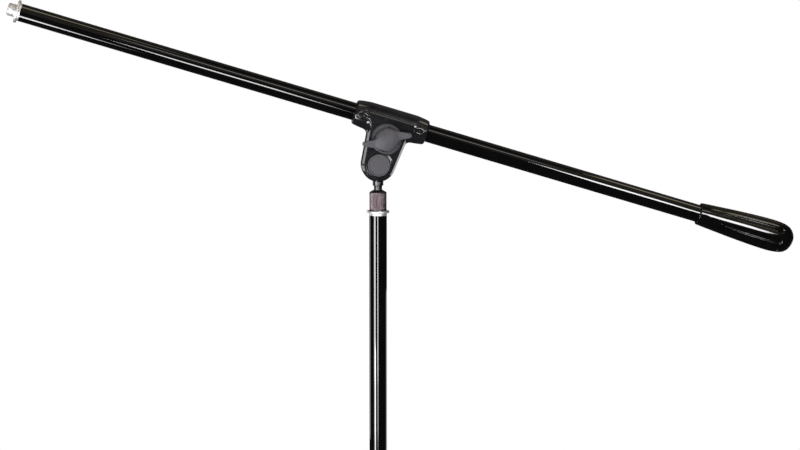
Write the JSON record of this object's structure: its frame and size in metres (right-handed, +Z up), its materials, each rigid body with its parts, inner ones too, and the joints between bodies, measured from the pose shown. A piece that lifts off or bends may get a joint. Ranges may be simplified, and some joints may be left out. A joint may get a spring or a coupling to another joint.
{
  "type": "boom microphone stand",
  "caption": "Floor stand with a round weighted base, telescopic column, swivelling tilt head, sliding boom, wing-knob clamp, threaded microphone end and fluted counterweight.",
  "frame": {"origin": "centre of the base's rubber ring, on the floor, on the column's axis", "axes": "+Z up along the column; the boom lies in the XZ plane at rest, its microphone end up and towards -X; the wing knob faces -Y"},
  "size_m": [0.9884, 0.305, 1.4636],
  "materials": {
    "gloss_black_tube": "glossy black powder coat with a light orange peel",
    "head_casting": "satin black enamel on die casting",
    "weight_casting": "glossy black enamel on cast iron",
    "cast_black": "textured black enamel on cast iron",
    "chrome_trim": "polished chrome plate",
    "coupling_metal": "knurled, dulled nickel plate",
    "spindle_steel": "turned steel",
    "zinc_steel": "bright zinc plate",
    "spring_steel": "oiled spring steel",
    "insert_brass": "turned brass",
    "clutch_metal": "black oxide",
    "grey_plastic": "dark grey moulded plastic, fine spark texture",
    "grip_plastic": "black moulded plastic, satin",
    "nylon": "natural nylon",
    "pad_rubber": "matt black rubber"
  },
  "bodies": {
    "base": {"base_plate": "cast_black", "base_ring_pad": "pad_rubber", "base_lock_nut": "zinc_steel", "base_lock_washer": "zinc_steel", "lower_tube": "gloss_black_tube", "lower_tube_foot": "chrome_trim", "clutch_body": "clutch_metal", "clutch_collet": "nylon"},
    "clutch_ring": {"clutch_grip": "grip_plastic"},
    "guide": {"mast_guide": "nylon"},
    "mast": {"upper_tube": "gloss_black_tube", "mast_thread_insert": "chrome_trim", "mast_foot_plug": "zinc_steel", "swivel_washer": "nylon"},
    "coupling": {"coupling_nut": "coupling_metal"},
    "swivel": {"swivel_spindle": "spindle_steel"},
    "head": {"clamp_front": "head_casting", "clamp_rear": "head_casting", "friction_washers": "nylon", "pivot_pin": "zinc_steel", "pivot_cap": "grey_plastic", "pivot_nut": "zinc_steel", "clamp_bolt": "zinc_steel", "clamp_spring": "spring_steel", "knob_washer": "zinc_steel", "boss_ring": "grey_plastic"},
    "knob": {"wing_knob": "grey_plastic", "knob_insert": "insert_brass"},
    "liner": {"boom_liner": "nylon"},
    "boom": {"boom_tube": "gloss_black_tube", "mic_thread_insert": "chrome_trim", "counterweight_insert": "zinc_steel", "counterweight": "weight_casting"}
  },
  "joints": [
    {"name": "clutch_turn", "type": "hinge", "parent": "base", "child": "clutch_ring", "pos_m": [0, 0, 0.81], "axis": [0, 0, 1], "range_deg": [0, 120]},
    {"name": "mast_height", "type": "slide", "parent": "base", "child": "guide", "axis": [0, 0, 1], "range_m": [-0.25, 0.33]},
    {"name": "mast_turn", "type": "hinge", "parent": "guide", "child": "mast", "pos_m": [0, 0, 0.34], "axis": [0, 0, 1], "continuous": true},
    {"name": "coupling_turn", "type": "hinge", "parent": "mast", "child": "coupling", "pos_m": [0, 0, 1.21], "axis": [0, 0, 1], "range_deg": [0, 180]},
    {"name": "swivel_turn", "type": "hinge", "parent": "mast", "child": "swivel", "pos_m": [0, 0, 1.22], "axis": [0, 0, 1], "continuous": true},
    {"name": "head_tilt", "type": "hinge", "parent": "swivel", "child": "head", "pos_m": [0, 0, 1.2584], "axis": [0, 1, 0], "range_deg": [-106.75, 73.25]},
    {"name": "knob_turn", "type": "hinge", "parent": "head", "child": "knob", "pos_m": [0.0098, 0, 1.29096], "axis": [0, -1, 0], "range_deg": [0, 270]},
    {"name": "boom_roll", "type": "hinge", "parent": "head", "child": "liner", "pos_m": [0.01585, 0, 1.31107], "axis": [0.9576, 0, -0.2882], "continuous": true},
    {"name": "boom_slide", "type": "slide", "parent": "liner", "child": "boom", "axis": [0.9576, 0, -0.2882], "range_m": [-0.35, 0.4]}
  ]
}
